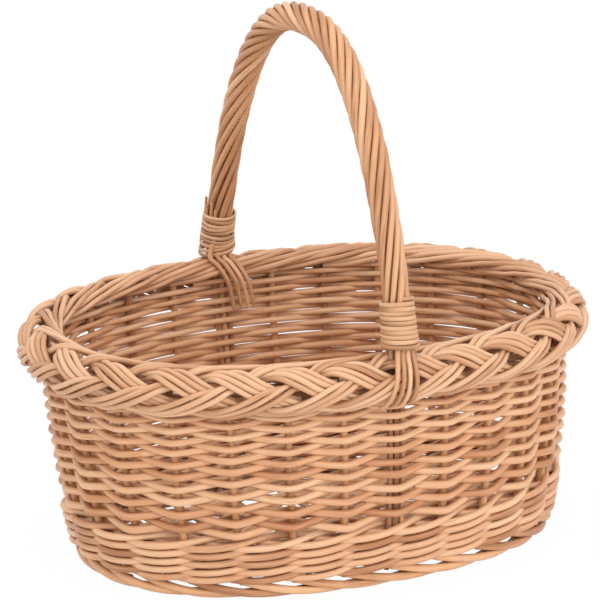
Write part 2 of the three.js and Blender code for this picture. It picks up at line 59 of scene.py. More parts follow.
class Tone:
    """A value in a node tree: sums on it add Math nodes, and node() adds any other kind."""

    def __init__(self, tree, socket=None):
        self.tree = tree
        self.socket = socket

    def node(self, kind, settings, sockets, output=0):
        made = self.tree.nodes.new(kind)
        for name, value in settings.items():
            if name != "stops":
                setattr(made, name, value)
                continue
            while len(made.color_ramp.elements) < len(value):
                made.color_ramp.elements.new(1.0)
            for element, (position, colour) in zip(made.color_ramp.elements, value):
                element.position = position
                element.color = colour
        for name, value in sockets.items():
            if isinstance(value, Tone):
                self.tree.links.new(value.socket, made.inputs[name])
            else:
                made.inputs[name].default_value = value
        return Tone(self.tree, made.outputs[output])

    def sum(self, operation, first, second):
        return self.node("ShaderNodeMath", {"operation": operation}, {0: first, 1: second})

    def __add__(self, other):
        return self.sum("ADD", self, other)

    def __radd__(self, other):
        return self.sum("ADD", other, self)

    def __sub__(self, other):
        return self.sum("SUBTRACT", self, other)

    def __rsub__(self, other):
        return self.sum("SUBTRACT", other, self)

    def __mul__(self, other):
        return self.sum("MULTIPLY", self, other)

    def __rmul__(self, other):
        return self.sum("MULTIPLY", other, self)


def srgb(red, green, blue):
    """A colour as it is seen on a screen, as the shader wants it."""
    linear = [((c / 255 + 0.055) / 1.055) ** 2.4 if c > 10 else c / 255 / 12.92 for c in (red, green, blue)]
    return (*linear, 1.0)


def willow(name, pale, tan, brown):
    """Peeled, boiled willow: each rod has its own tone, long fibres, soft patches and a few leaf scars."""
    material = bpy.data.materials.new(name)
    material.use_nodes = True
    tree = material.node_tree
    surface = tree.nodes["Principled BSDF"]
    wood = Tone(tree)

    shade = wood.node("ShaderNodeAttribute", {"attribute_name": "shade"}, {}, "Fac")
    along = wood.node("ShaderNodeAttribute", {"attribute_name": "along"}, {}, "Fac")
    ring = wood.node("ShaderNodeAttribute", {"attribute_name": "ring"}, {}, "Vector")
    across = wood.node("ShaderNodeSeparateXYZ", {}, {"Vector": ring}, "X")
    around = wood.node("ShaderNodeSeparateXYZ", {}, {"Vector": ring}, "Y")

    def streaks(round_scale, long_scale, detail):
        """Noise that is drawn out along the rod."""
        sockets = {"X": across * round_scale, "Y": around * round_scale, "Z": along * long_scale}
        place = wood.node("ShaderNodeCombineXYZ", {}, sockets)
        sockets = {"Vector": place, "Scale": 1.0, "Detail": detail, "Roughness": 0.6}
        return wood.node("ShaderNodeTexNoise", {}, sockets, "Fac")

    fibre = streaks(5.0, 45.0, 4.0)
    patch = streaks(0.7, 26.0, 2.0)
    bruise = streaks(1.3, 60.0, 2.0)
    tone = shade * 0.75 + patch * 0.8 + fibre * 0.6 - 0.62
    stops = [(0.08, brown), (0.45, tan), (0.92, pale)]
    colour = wood.node("ShaderNodeValToRGB", {"stops": stops}, {"Fac": tone}, "Color")

    sockets = {"X": across * 0.9, "Y": around * 0.9, "Z": along * 17.0}
    scar_place = wood.node("ShaderNodeCombineXYZ", {}, sockets)
    sockets = {"Vector": scar_place, "Scale": 1.0, "Randomness": 1.0}
    scar_distance = wood.node("ShaderNodeTexVoronoi", {}, sockets, "Distance")
    settings = {"interpolation_type": "SMOOTHSTEP"}
    sockets = {"Value": scar_distance, "From Min": 0.05, "From Max": 0.15, "To Min": 1.0, "To Max": 0.0}
    scar = wood.node("ShaderNodeMapRange", settings, sockets)
    sockets = {"Value": bruise, "From Min": 0.62, "From Max": 0.8, "To Min": 0.0, "To Max": 0.45}
    stain = wood.node("ShaderNodeMapRange", settings, sockets)
    dark = wood.node("ShaderNodeMath", {"operation": "MAXIMUM"}, {0: scar * 0.7, 1: stain})
    # sockets 6 and 7 of this node are its two colours, and output 2 is their mix
    colour = wood.node("ShaderNodeMix", {"data_type": "RGBA"}, {0: dark, 6: colour, 7: brown}, 2)

    roughness = 0.3 + fibre * 0.24 + scar * 0.2
    relief = fibre * 0.7 + scar * 0.8 + patch * 0.3
    sockets = {"Strength": 0.5, "Distance": 0.0004, "Height": relief}
    bump = wood.node("ShaderNodeBump", {}, sockets, "Normal")
    tree.links.new(colour.socket, surface.inputs["Base Color"])
    tree.links.new(roughness.socket, surface.inputs["Roughness"])
    tree.links.new(bump.socket, surface.inputs["Normal"])
    return material


def rod_bender():
    """Geometry nodes that give a line of points its rod: round or flattened, with cut ends."""
    tree = bpy.data.node_groups.new("Bent willow rods", "GeometryNodeTree")
    names = tree.interface
    names.new_socket("Lines", in_out="INPUT", socket_type="NodeSocketGeometry")
    names.new_socket("Sides", in_out="INPUT", socket_type="NodeSocketInt")
    names.new_socket("Flatness", in_out="INPUT", socket_type="NodeSocketFloat")
    names.new_socket("Willow", in_out="INPUT", socket_type="NodeSocketMaterial")
    names.new_socket("Rods", in_out="OUTPUT", socket_type="NodeSocketGeometry")
    given = tree.nodes.new("NodeGroupInput").outputs
    bench = Tone(tree)

    def attribute(name, kind):
        return bench.node("GeometryNodeInputNamedAttribute", {"data_type": kind}, {"Name": name})

    line = bench.node("GeometryNodeMeshToCurve", {}, {"Mesh": Tone(tree, given["Lines"])})
    sockets = {"Curve": line, "Normal": attribute("facing", "FLOAT_VECTOR")}
    line = bench.node("GeometryNodeSetCurveNormal", {"mode": "FREE"}, sockets)

    sockets = {"Resolution": Tone(tree, given["Sides"]), "Radius": 1.0}
    section = bench.node("GeometryNodeCurvePrimitiveCircle", {"mode": "RADIUS"}, sockets)
    corner = bench.node("GeometryNodeInputPosition", {}, {})
    settings = {"data_type": "FLOAT_VECTOR", "domain": "POINT"}
    sockets = {"Geometry": section, "Name": "ring", "Value": corner}
    section = bench.node("GeometryNodeStoreNamedAttribute", settings, sockets)
    sockets = {"X": Tone(tree, given["Flatness"]), "Y": 1.0, "Z": 1.0}
    pressed = bench.node("ShaderNodeCombineXYZ", {}, sockets)
    section = bench.node("GeometryNodeTransform", {}, {"Geometry": section, "Scale": pressed})

    thickness = attribute("thickness", "FLOAT")
    sockets = {"Curve": line, "Profile Curve": section, "Scale": thickness, "Fill Caps": True}
    rods = bench.node("GeometryNodeCurveToMesh", {}, sockets)
    # the long faces of a rod have four corners and are smooth, and its cut ends have more and stay flat
    corners = bench.node("GeometryNodeInputMeshFaceNeighbors", {}, {}, "Vertex Count")
    settings = {"data_type": "INT", "operation": "LESS_EQUAL"}
    long_face = bench.node("FunctionNodeCompare", settings, {2: corners, 3: 4})
    rods = bench.node("GeometryNodeSetShadeSmooth", {}, {"Geometry": rods, "Shade Smooth": long_face})
    rods = bench.node("GeometryNodeRealizeInstances", {}, {"Geometry": rods})
    sockets = {"Geometry": rods, "Material": Tone(tree, given["Willow"])}
    rods = bench.node("GeometryNodeSetMaterial", {}, sockets)
    tree.links.new(rods.socket, tree.nodes.new("NodeGroupOutput").inputs["Rods"])
    return tree


BENDER = rod_bender()


def bend_rods(name, rods, wood, sides=10, flatness=1.0):
    """One piece of many rods: for each its points, half thickness, tone and the way its flat side faces."""
    points, edges, thickness, along, shade, facing = [], [], [], [], [], []
    for path, radius, tone, face in rods:
        first = len(points)
        ahead = np.gradient(path, axis=0)
        ahead /= np.linalg.norm(ahead, axis=1)[:, None]
        face = np.broadcast_to(face, path.shape)
        face = face - ahead * np.sum(face * ahead, axis=1)[:, None]
        face /= np.linalg.norm(face, axis=1)[:, None]
        steps = np.linalg.norm(np.diff(path, axis=0), axis=1)
        points.extend(path)
        edges.extend((first + i, first + i + 1) for i in range(len(path) - 1))
        thickness.extend(np.broadcast_to(radius, len(path)))
        grain_start = chance.uniform(0, 50)  # each rod shows another stretch of the grain
        along.extend(grain_start + np.concatenate([[0], np.cumsum(steps)]))
        shade.extend(np.broadcast_to(tone, len(path)))
        facing.extend(face)
    mesh = bpy.data.meshes.new(name)
    mesh.from_pydata([tuple(p) for p in points], edges, [])
    for label, values in (("thickness", thickness), ("along", along), ("shade", shade)):
        layer = mesh.attributes.new(label, "FLOAT", "POINT")
        layer.data.foreach_set("value", np.array(values, np.float32))
    layer = mesh.attributes.new("facing", "FLOAT_VECTOR", "POINT")
    layer.data.foreach_set("vector", np.array(facing, np.float32).ravel())

    piece = bpy.data.objects.new(name, mesh)
    bpy.context.scene.collection.objects.link(piece)
    modifier = piece.modifiers.new("Bent willow rods", "NODES")
    modifier.node_group = BENDER
    sizes = {"Sides": sides, "Flatness": flatness, "Willow": wood}
    for socket in BENDER.interface.items_tree:
        if socket.name in sizes:
            modifier[socket.identifier] = sizes[socket.name]
    graph = bpy.context.evaluated_depsgraph_get()
    piece.data = bpy.data.meshes.new_from_object(piece.evaluated_get(graph))
    piece.modifiers.clear()
    return piece


UP = np.array([0.0, 0.0, 1.0])
stick_wood = willow("shaved_stick_willow", srgb(214, 170, 128), srgb(186, 136, 94), srgb(128, 84, 52))
sticks = []
stick_nodes = [f"cross_stick_{i + 1}" for i in range(CROSS_STICKS)]
stick_nodes += [f"long_stick_{i + 1}" for i in range(LONG_STICKS)]
for node in stick_nodes:
    low, high = (np.array(corner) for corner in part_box(node))
    middle = (low + high) / 2 + FOOT_LEAN
    way = np.argmax(high - low)
    steps = int((high - low)[way] / STICK_STEP)
    path = np.repeat(middle[None], steps + 1, 0)
    path[:, way] += np.linspace(-0.5, 0.5, steps + 1) * ((high - low)[way] + 2 * STICK_REACH)
    shaved = STICK_SHAVED if node.startswith("cross") else 1.0
    radius = shaved * (high - low)[2] / 2
    thick = radius * np.linspace(*STICK_TAPER, steps + 1)
    sticks.append((path, thick, chance.uniform(0.2, 0.8), UP))
piece = bend_rods("base_sticks_wood", sticks, stick_wood, sides=12)
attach(piece, "root")
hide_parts(*stick_nodes)

# Base weave. Thin rods woven four together over one stick and under the next, and turned back at the oval
# edge. Boiled willow, pushed close, held only by its own grip, and covered outside by the wale.
BASE_ROD = 0.0021  # half thickness
BASE_TOGETHER = 4
BASE_BANDS = 6
BASE_REACH = 0.009  # the weaving is pushed this far on past the mat, against the wale
BASE_STEP = 0.003  # between the points along a rod
BASE_TAPER = (1.07, 0.97)
BASE_STRAY = 0.0003  # how far a rod strays sideways
OVAL_POWER = 2.2  # 2 is an ellipse, more is squarer

base_low, base_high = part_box("base_mat")
stick_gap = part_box("cross_stick_2")[0].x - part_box("cross_stick_1")[0].x
stick_first = (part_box("cross_stick_1")[0].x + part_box("cross_stick_1")[1].x) / 2
slot_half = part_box("long_stick_3")[1].y
base_pitch = (base_high.y - slot_half) / (BASE_TOGETHER * BASE_BANDS)
base_middle = (base_low.z + base_high.z) / 2
base_swing = STICK_SHAVED * (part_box("cross_stick_1")[1].z - base_middle) + BASE_ROD

rods = []
for side in (-1, 1):
    for row in range(BASE_TOGETHER * BASE_BANDS + int(BASE_REACH / base_pitch)):
        y = side * (slot_half + base_pitch * (row + 0.5))
        part = abs(y) / (base_high.y + BASE_REACH)
        edge = (base_high.x + BASE_REACH) * (1 - part**OVAL_POWER) ** (1 / OVAL_POWER)
        x = np.linspace(-edge, edge, int(2 * edge / BASE_STEP))
        swing = np.cos(math.pi * ((x - stick_first) / stick_gap + row // BASE_TOGETHER))
        stray = BASE_STRAY * np.sin(x * 90 + row * 2.1)
        path = np.stack([x, y + stray, base_middle + base_swing * swing], 1) + FOOT_LEAN
        thin = BASE_ROD * np.linspace(*BASE_TAPER, len(path))
        rods.append((path, thin if row % 2 else thin[::-1], chance.uniform(0, 1), UP))
base_wood = willow("base_willow", srgb(222, 176, 134), srgb(200, 150, 108), srgb(140, 92, 58))
piece = bend_rods("base_weave_willow", rods, base_wood, sides=8)
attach(piece, "root")
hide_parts("base_mat")

# Stakes. Upright rods pushed in beside the base sticks and bent up, one at every place round the oval but
# the two where the handle stands. They carry the weaving, and their tops are worked into the border.
STAKES = 26
STAKE_RADIUS = 0.0029
STAKE_POINTS = 48
STAKE_STRAY = 0.001  # how far a stake strays along the wall
STAKE_TAPER = (1.06, 0.92)
HANDLE_TURN = 0.25  # the far leg of the handle, as a part of a turn
RIM_HALF_LENGTH = 0.22
RIM_HALF_WIDTH = 0.16
RIDGE_HEIGHT = 0.18
ROLL_REACH = 0.0191  # from the middle of the rolled border to its outside and to its ridge
WALL_INSET = 0.0225  # the stakes under the border stand this far inside its outer edge
WALL_HALF = 0.0079  # half the thickness of the woven wall
WALL_SWELL = 0.78  # how far the wall swells out between foot and border
WALL_TOP = 0.1576
RIM_STEPS = 1440  # points on the oval that the lengths round it are measured by

roll_half_length = RIM_HALF_LENGTH - ROLL_REACH
roll_half_width = RIM_HALF_WIDTH - ROLL_REACH
roll_height = RIDGE_HEIGHT - ROLL_REACH
foot_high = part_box("foot_roll")[1]
stake_low, stake_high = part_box("stake_01")


def oval_points(half_length, half_width, angle):
    cosine, sine = np.cos(angle), np.sin(angle)
    x = half_length * np.sign(cosine) * np.abs(cosine) ** (2 / OVAL_POWER)
    y = half_width * np.sign(sine) * np.abs(sine) ** (2 / OVAL_POWER)
    return x, y


rim_angles = np.linspace(0, 2 * math.pi, RIM_STEPS + 1)
rim_steps = np.hypot(*np.diff(oval_points(RIM_HALF_LENGTH, RIM_HALF_WIDTH, rim_angles)))
rim_lengths = np.concatenate([[0], np.cumsum(rim_steps)])
stake_gap = rim_lengths[-1] / STAKES


def oval_place(half_length, half_width, turn):
    """Places on an oval and the level ways out there. Equal parts of a turn are equal lengths of rim."""
    angle = np.interp(np.mod(turn, 1.0) * rim_lengths[-1], rim_lengths, rim_angles)
    x, y = oval_points(half_length, half_width, angle)
    out_x = np.sign(x) * np.abs(x / half_length) ** (OVAL_POWER - 1) / half_length
    out_y = np.sign(y) * np.abs(y / half_width) ** (OVAL_POWER - 1) / half_width
    size = np.hypot(out_x, out_y)
    zero = np.zeros_like(x)
    return np.stack([x, y, zero], -1), np.stack([out_x / size, out_y / size, zero], -1)


def wall_axes(height):
    """Half axes of the oval that the stakes stand on at a height."""
    part = np.clip(height / WALL_TOP, 0, 1)
    spread = part + WALL_SWELL * part * (1 - part)
    foot_half_length = foot_high.x - WALL_HALF
    foot_half_width = foot_high.y - WALL_HALF
    half_length = foot_half_length + (RIM_HALF_LENGTH - WALL_INSET - foot_half_length) * spread
    half_width = foot_half_width + (RIM_HALF_WIDTH - WALL_INSET - foot_half_width) * spread
    return half_length, half_width


def wall_place(turn, height, out):
    """Places in the woven wall, so far out from the stakes, and the ways out there, square to the wall."""
    turn, height, out = np.broadcast_arrays(turn, height, out)
    place, outward = oval_place(*wall_axes(height), turn)
    place[..., 2] = height
    place = place + FOOT_LEAN * (1 - np.clip(height / WALL_TOP, 0, 1))[..., None]
    step = 0.001
    lean = (wall_axes(height + step)[0] - wall_axes(height - step)[0]) / (2 * step)
    face = outward - UP * lean[..., None]
    face /= np.linalg.norm(face, axis=-1, keepdims=True)
    return place + face * out[..., None], face


def wander(places, reach, amount):
    """A smooth unevenness along a rod, over about that reach."""
    total = np.zeros_like(places, dtype=float)
    for share, speed in ((0.55, 1.0), (0.3, 2.3), (0.15, 4.1)):
        total += share * np.sin(2 * math.pi * (places * speed / reach + chance.uniform()))
    return amount * total


stakes = []
for k in range(STAKES):
    if k % (STAKES // 2) == 0:  # a leg of the handle stands here
        continue
    height = np.linspace(stake_low.z, stake_high.z, STAKE_POINTS)
    turn = HANDLE_TURN + k / STAKES + wander(height, 0.12, STAKE_STRAY) / rim_lengths[-1]
    path, outward = wall_place(turn, height, 0.0)
    thick = STAKE_RADIUS * np.linspace(*STAKE_TAPER, len(height))
    stakes.append((path, thick, chance.uniform(0.1, 0.8), outward))
stake_wood = willow("stake_willow", srgb(214, 166, 122), srgb(198, 144, 100), srgb(152, 98, 60))
piece = bend_rods("stakes_willow", stakes, stake_wood, sides=12)
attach(piece, "root")
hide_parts(*(f"stake_{i + 1:02d}" for i in range(STAKES - 2)))

# Wale. Three heavy rods worked together round the foot of the wall: each goes outside two stakes, over the
# other two rods, and inside the third stake. It locks the stakes upright before the wall is woven.
WALE_RODS = 3
WALE_ROUNDS = 5
WALE_RADIUS = 0.0026
WALE_PITCH = 0.0063  # climb in one round
WALE_FOOT = 0.0155
WALE_CLIMB = 0.0036  # a rod comes out low and goes in high
WALE_SWING = 1.2  # how far a rod swings from side to side of the stakes, for its place close beside one
WALE_STANDS_OUT = 0.2  # and how far its middle stands out
WALE_STEPS = 14  # points from stake to stake
# part of a stroke, and part of the climb there
WALE_STROKE = ((0, -0.71), (0.6, 1), (0.9, -1), (1, -0.71))


def smoothed(line, weights):
    return np.convolve(np.pad(line, len(weights) // 2, mode="edge"), weights, "valid")


rods = []
places = np.arange(0, WALE_ROUNDS * STAKES, 1 / WALE_STEPS)
wale_side = STAKE_RADIUS + WALE_RADIUS
for rod in range(WALE_RODS):
    stroke = np.mod((places - rod) / WALE_RODS, 1.0)
    swing = np.cos(2 * math.pi * (stroke - 1 / 6))
    out = wale_side * (swing * WALE_SWING + WALE_STANDS_OUT)
    climb = smoothed(np.interp(stroke, *np.array(WALE_STROKE).T), np.ones(9) / 9)
    height = WALE_FOOT + WALE_PITCH * places / STAKES + WALE_CLIMB * climb + wander(places, 6, 0.0004)
    path, outward = wall_place(HANDLE_TURN + places / STAKES, height, out + wander(places, 5, 0.0003))
    thick = WALE_RADIUS * (1 + wander(places, 30, 0.08))
    tone = 0.5 + np.clip(wander(places, 40, 0.6), -0.45, 0.45) + wander(places, 9, 0.15)
    rods.append((path, thick, tone, outward))
wale_wood = willow("wale_willow", srgb(222, 180, 143), srgb(211, 161, 122), srgb(168, 112, 73))
piece = bend_rods("wale_willow", rods, wale_wood, sides=12)
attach(piece, "root")
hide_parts(*(f"wale_rod_{i + 1}" for i in range(WALE_RODS)))

# Randing. The wall itself: rods woven in front of one stake and behind the next, two sets that chase each
# other up the basket. The thick rods are used low and the thin ones high, so the rows close up upwards.
WEAVE_ROUNDS = 13
WEAVE_FOOT = 0.0485
WEAVE_TOP = 0.165
LOW_PITCH = 0.0053  # between two rows at the foot
WEAVER_FULLNESS = 0.545  # half thickness of a weaver for the pitch of its rows
WEAVER_DIP = 0.29  # a rod runs lower outside a stake than inside the next, as a part of the pitch
WEAVER_SLANT = 0.08  # a rod climbs as it passes outside a stake, as a part of the pitch
WEAVER_BEND = 0.975  # 1 runs straight from stake to stake with a sharp bend at each
WEAVER_TAPER = (1.08, 0.94)
WEAVER_SIZES = (0.96, 1.06)  # the thinnest and the thickest rod
WEAVER_STRAY = 0.0008  # how far a rod strays up and down
WEAVER_STEPS = 12  # points from stake to stake
ROD_STAKES = 31  # stakes that one rod passes before the next is joined in
ROD_LAP = 0.6  # gaps between stakes that each end runs on beside the next rod
LEAST_STAKES = 4  # no rod is joined in for fewer stakes

row_total = 2 * WEAVE_ROUNDS
high_pitch = 2 * (WEAVE_TOP - WEAVE_FOOT) / row_total - LOW_PITCH
weave_wood = willow("weaver_willow", srgb(218, 176, 139), srgb(203, 150, 109), srgb(168, 108, 67))
for chase, node in enumerate(("weaver_even", "weaver_odd")):
    rods = []
    first = chase * STAKES
    while first < WEAVE_ROUNDS * STAKES - LEAST_STAKES:
        last = min(first + ROD_STAKES + 2 * chance.integers(-2, 3), WEAVE_ROUNDS * STAKES)
        places = np.arange(first - ROD_LAP, last + ROD_LAP, 1 / WEAVER_STEPS)
        row = np.clip(2 * places / STAKES - chase, 0, row_total)
        pitch = LOW_PITCH + (high_pitch - LOW_PITCH) * row / row_total
        height = WEAVE_FOOT + (LOW_PITCH + pitch) / 2 * row + wander(places, 7, WEAVER_STRAY)
        taper = np.linspace(*WEAVER_TAPER, len(places)) * chance.uniform(*WEAVER_SIZES)
        thick = WEAVER_FULLNESS * pitch * taper
        swing = np.arcsin(WEAVER_BEND * np.cos(math.pi * (places + chase))) / math.asin(WEAVER_BEND)
        out = (STAKE_RADIUS + thick) * swing
        climb = np.sin(math.pi * (places + chase))
        height = height + pitch * (WEAVER_SLANT * climb - WEAVER_DIP * swing)
        path, outward = wall_place(HANDLE_TURN + places / STAKES, height, out + wander(places, 5, 0.0003))
        rods.append((path, thick, chance.uniform(0, 1), outward))
        first = last
    piece = bend_rods(f"{node}_willow", rods, weave_wood, sides=10)
    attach(piece, "root")
    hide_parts(node)

# Plaited border. The stake tops, bent over in pairs, are plaited and rolled over the top of the wall. Each
# pair runs down outside, comes back up over the next two, goes over to the inside and is laid along the
# ridge there. A few short rods beside the pairs fill the strands.
PLAIT_ROD = 0.0021  # half thickness
STRAND_PITCH = 0.0043  # between two rods of a strand
PLAIT_ROLL = 0.0151  # middle of the rods from the middle of the roll
PLAIT_PHASE = 0.49  # stake gaps from a stake to where its strand is counted from
PLAIT_SLACK = 0.08  # stake gaps that a strand may lie early or late
PLAIT_TAPER = (1.1, 0.92)
PLAIT_SIZES = (0.9, 1.12)  # the thinnest and the thickest rod
PLAIT_POINTS = 110
PLAIT_STEPS = 304  # points that the path is smoothed on
# stake gaps along the border, degrees up from level outwards, millimetres over the middle of the rods
PLAIT_PATH = (
    (-0.9, 130, -6.5), (-0.6, 115, -5.8), (-0.3, 101, -4.6), (0.0, 91, -3.8), (0.15, 86, -2.8),
    (0.3, 78, -0.6), (0.45, 67, 1.6), (0.62, 53, 2.4), (0.8, 38, 2.0), (1.06, 14, -1.2),
    (1.25, -3, -2.6), (1.42, -20, -2.8), (1.68, -46, -2.2), (1.9, -62, -0.8), (2.1, -69, 0.8),
    (2.35, -65, 1.8), (2.6, -50, 2.3), (2.85, -32, 2.4), (3.15, -9, 2.4), (3.4, 11, 1.8),
    (3.58, 28, -2.4), (3.75, 46, -4.6), (3.9, 66, -2.6), (4.02, 78, 0.4), (4.15, 87, 1.9),
    (4.35, 98, 2.2), (4.6, 107, 2.2), (5.0, 119, 2.2), (5.35, 129, 2.2), (5.7, 137, 1.2),
    (6.0, 141, -1.5), (6.3, 141, -5.0), (6.55, 132, -8.0),
)
# rods that go with a pair: beside it in pitches, and where along the path they start and end
PLAIT_FILLERS = ((-1.5, 0.0, 1.9), (1.5, 0.2, 1.7), (1.5, 1.9, 3.6))
FILLER_DIP = 0.0055  # their ends go in under the pair
FILLER_TUCK = 0.85  # and this much of the way back to its middle
FILLER_EASE = 0.55  # over so many stake gaps
FILLER_TAPER = (1.06, 0.9)
FILLER_POINTS = 34

plait_knots = np.array(PLAIT_PATH)
plait_gaps = np.linspace(PLAIT_PATH[0][0], PLAIT_PATH[-1][0], PLAIT_STEPS + 1)
easing = np.hanning(13) / np.hanning(13).sum()
plait_look = smoothed(np.interp(plait_gaps, plait_knots[:, 0], np.radians(plait_knots[:, 1])), easing)
plait_over = smoothed(np.interp(plait_gaps, plait_knots[:, 0], plait_knots[:, 2] / 1000), easing)
plait_slope = np.gradient(plait_look, plait_gaps) * PLAIT_ROLL / stake_gap


def strand_place(gaps, stake, beside, over):
    """Places along a stake's strand, so far beside its middle line and over it, and the ways out there."""
    look = np.interp(gaps, plait_gaps, plait_look)
    slope = np.interp(gaps, plait_gaps, plait_slope)
    slant = np.hypot(1, slope)
    turn = HANDLE_TURN + (stake + gaps + PLAIT_PHASE) / STAKES - beside * slope / slant / rim_lengths[-1]
    angle = (look + beside / slant / PLAIT_ROLL)[:, None]
    radius = PLAIT_ROLL + over + np.interp(gaps, plait_gaps, plait_over)
    place, outward = oval_place(roll_half_length, roll_half_width, turn)
    face = outward * np.cos(angle) + UP * np.sin(angle)
    return place + face * radius[:, None] + UP * roll_height, face


rods = []
for stake in range(STAKES):
    slack = chance.uniform(-PLAIT_SLACK, PLAIT_SLACK)
    for side in (-0.5, 0.5):
        gaps = np.linspace(PLAIT_PATH[0][0], PLAIT_PATH[-1][0], PLAIT_POINTS)
        beside = side * STRAND_PITCH + wander(gaps, 2.6, 0.0005)
        path, face = strand_place(gaps, stake + slack, beside, wander(gaps, 2.1, 0.0005))
        thick = PLAIT_ROD * np.linspace(*PLAIT_TAPER, len(gaps)) * chance.uniform(*PLAIT_SIZES)
        thick = thick * (1 + wander(gaps, 3.3, 0.05))
        rods.append((path, thick, chance.uniform(0.15, 0.95), face))
    for side, first, last in PLAIT_FILLERS:
        gaps = np.linspace(first, last, FILLER_POINTS)
        hidden = np.clip(1 - np.minimum(gaps - first, last - gaps) / FILLER_EASE, 0, 1) ** 1.5
        beside = side * STRAND_PITCH * (1 - FILLER_TUCK * hidden) + wander(gaps, 2.6, 0.0003)
        path, face = strand_place(gaps, stake + slack, beside, -FILLER_DIP * hidden)
        thick = PLAIT_ROD * np.linspace(*FILLER_TAPER, len(gaps))
        rods.append((path, thick, chance.uniform(0.15, 0.95), face))
plait_wood = willow("plait_willow", srgb(214, 173, 138), srgb(201, 154, 117), srgb(164, 110, 72))
piece = bend_rods("border_plait_willow", rods, plait_wood, sides=10)
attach(piece, "root")
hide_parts("border_plait")

# Foot border. Rod ends that come out under the wale and are rolled down to the right, each laid over the
# next, into a rope that the basket stands on. They take the wear, and lift the base off the ground.
FOOT_ROD = 0.0031  # half thickness
FOOT_TAPER = (1.02, 0.9)
FOOT_PHASE = -0.3  # stake gaps from a stake to where its rod comes out
FOOT_POINTS = 57
# stake gaps along, out from the line of the stakes at the ground and height in millimetres
FOOT_PATH = (
    (0.0, 2.0, 17.0), (0.25, 4.5, 13.5), (0.6, 6.4, 10.0), (1.0, 6.6, 6.5),
    (1.4, 5.8, 4.0), (1.8, 4.4, 3.2), (2.4, 0.5, 3.2), (2.8, -3.0, 3.8),
)

foot_knots = np.array(FOOT_PATH)
places = np.linspace(0, FOOT_PATH[-1][0], FOOT_POINTS)
out = smoothed(np.interp(places, foot_knots[:, 0], foot_knots[:, 1] / 1000), np.ones(7) / 7)
height = smoothed(np.interp(places, foot_knots[:, 0], foot_knots[:, 2] / 1000), np.ones(7) / 7)
rods = []
for k in range(STAKES):
    turn = HANDLE_TURN + (k + FOOT_PHASE + places) / STAKES
    place, outward = oval_place(*wall_axes(0.0), turn)
    path = place + FOOT_LEAN + outward * out[:, None] + UP * height[:, None]
    thick = FOOT_ROD * np.linspace(*FOOT_TAPER, len(places))
    rods.append((path, thick, chance.uniform(0.1, 0.9), outward))
foot_wood = willow("foot_willow", srgb(228, 182, 140), srgb(212, 160, 117), srgb(166, 110, 70))
piece = bend_rods("foot_border_willow", rods, foot_wood, sides=12)
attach(piece, "root")
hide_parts("foot_roll")

# Handle bow. One thick rod bent to an arch. Its thinned ends are pushed down through the border into the
# wall, beside a pair of thinner rods that tighten them there. The wrapping hides the rest of it.
ARCH_TOP = 0.3946  # the middle of the bow above the ground
ARCH_HALF_SPAN = 0.145
ARCH_WIDE_POWER = 2.4  # fullness of the shoulders
ARCH_TALL_POWER = 1.32  # straightness of the sides
ARCH_STEPS = 720
BOW_RADIUS = 0.0048
BOW_POINTS = 160
LEG_RADIUS = 0.0025
LEG_BESIDE = 0.85  # thickness of the rods beside a leg, for the leg's own
LEG_STRAIGHT = 0.1625  # up to this height a leg stands in the wall, and above it leans out to the bow
LEG_LAP = 0.02  # the top of a leg lies along the foot of the bow for this length
LASH_FOOT = 0.003  # where the bow leaves the border, along the arch

arch_angles = np.linspace(0, math.pi, ARCH_STEPS + 1)
arch_cosine = np.cos(arch_angles)
arch_y = ARCH_HALF_SPAN * np.sign(arch_cosine) * np.abs(arch_cosine) ** (2 / ARCH_WIDE_POWER)
arch_rise = np.abs(np.sin(arch_angles)) ** (2 / ARCH_TALL_POWER)
arch_z = RIDGE_HEIGHT + (ARCH_TOP - RIDGE_HEIGHT) * arch_rise
arch_lengths = np.concatenate([[0], np.cumsum(np.hypot(np.diff(arch_y), np.diff(arch_z)))])
arch_length = arch_lengths[-1]


def arch_place(length):
    """Places on the arch, so far along it from the far foot, and the ways out of it."""
    y = np.interp(length, arch_lengths, arch_y)
    z = np.interp(length, arch_lengths, arch_z)
    ease = 0.004
    step_y = np.interp(length + ease, arch_lengths, arch_y) - np.interp(length - ease, arch_lengths, arch_y)
    step_z = np.interp(length + ease, arch_lengths, arch_z) - np.interp(length - ease, arch_lengths, arch_z)
    size = np.hypot(step_y, step_z)
    zero = np.zeros_like(y)
    return np.stack([zero, y, z], -1), np.stack([zero, step_z / size, -step_y / size], -1)


ALONG_BASKET = np.array([1.0, 0.0, 0.0])
rods = []
arch_path, _ = arch_place(np.linspace(LASH_FOOT, arch_length - LASH_FOOT, BOW_POINTS))
rods.append((arch_path, BOW_RADIUS, 0.3, ALONG_BASKET))
height = np.linspace(stake_low.z, LEG_STRAIGHT, 40)
for bow_end, turn in ((arch_path[0], HANDLE_TURN), (arch_path[-1], HANDLE_TURN + 0.5)):
    for beside in (-1.0, 0.0, 1.0):
        path, _ = wall_place(turn, height, 0.0)
        path[:, 0] += beside * 2 * LEG_RADIUS
        top = bow_end + UP * LEG_LAP + ALONG_BASKET * beside * 1.2 * LEG_RADIUS
        ease = np.linspace(0, 1, 12)[1:, None]
        path = np.concatenate([path, path[-1] + (top - path[-1]) * ease])
        thick = LEG_RADIUS * (LEG_BESIDE if beside else 1.0)
        rods.append((path, thick, chance.uniform(0.1, 0.7), ALONG_BASKET))
bow_wood = willow("bow_willow", srgb(216, 168, 128), srgb(190, 138, 98), srgb(128, 82, 50))
piece = bend_rods("handle_bow_willow", rods, bow_wood, sides=12)
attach(piece, "root")
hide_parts("handle_bow")

